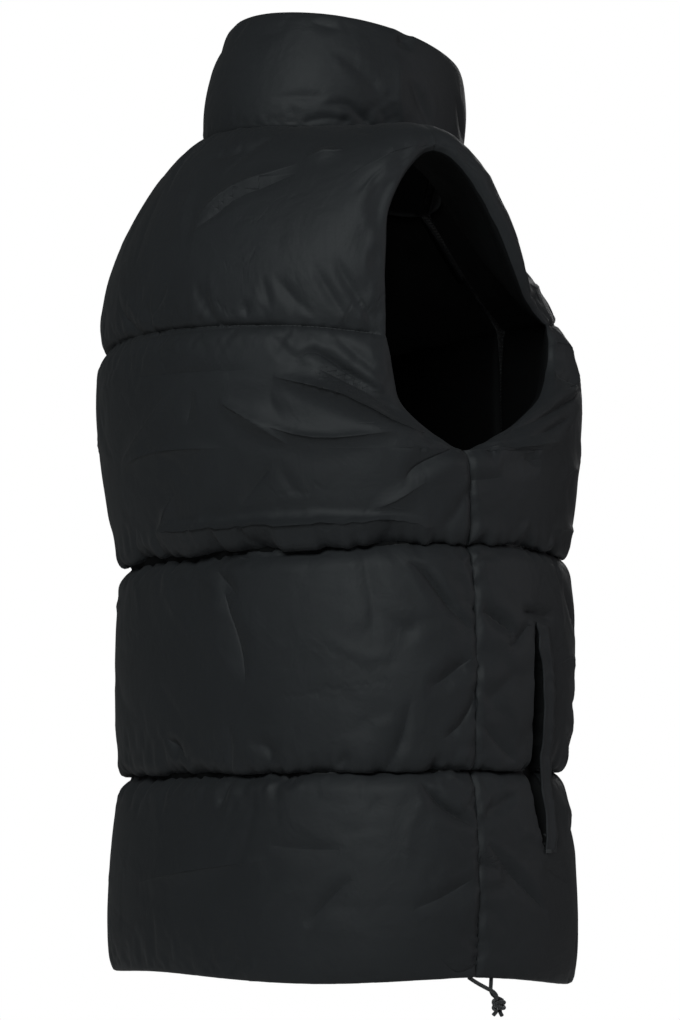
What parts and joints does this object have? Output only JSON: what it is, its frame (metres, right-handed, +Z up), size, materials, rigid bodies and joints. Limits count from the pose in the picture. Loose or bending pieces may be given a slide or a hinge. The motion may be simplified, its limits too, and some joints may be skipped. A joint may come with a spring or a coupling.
{
  "type": "puffer vest",
  "caption": "Sleeveless quilted puffer vest with a padded stand collar, front zip, welt pockets and a hem drawcord, filled out as worn.",
  "frame": {"origin": "where the wearer carries it: midway between the two neck points, level with the neck seam at the nape", "axes": "+Z up, the vest faces -Y with the zip at its front, +X towards the wearer's left"},
  "size_m": [0.4182, 0.3228, 0.7179],
  "materials": {
    "shell_nylon": "black satin nylon over a soft filling",
    "zip_tape": "matt woven tape",
    "zip_teeth": "black moulded plastic, satin",
    "zip_metal": "black enamelled zinc",
    "elastic_cord": "braided black elastic cord"
  },
  "bodies": {
    "vest": {"back_panel": "shell_nylon", "front_panel_right": "shell_nylon", "front_panel_left": "shell_nylon", "collar": "shell_nylon", "pocket_welt_right": "shell_nylon", "pocket_welt_left": "shell_nylon", "zip_tape_right": "zip_tape", "zip_tape_left": "zip_tape", "zip_chain": "zip_teeth", "zip_box": "zip_teeth", "zip_slider": "zip_metal", "cord_rear_leg": "elastic_cord", "cord_fore_leg": "elastic_cord", "cord_knot": "elastic_cord"},
    "zip_pull": {"zip_pull_tab": "zip_metal"}
  },
  "joints": [
    {"name": "zip_pull_swing", "type": "hinge", "parent": "vest", "child": "zip_pull", "pos_m": [0, -0.08932, 0.02788], "axis": [-1, 0, 0], "range_deg": [0, 150]}
  ]
}
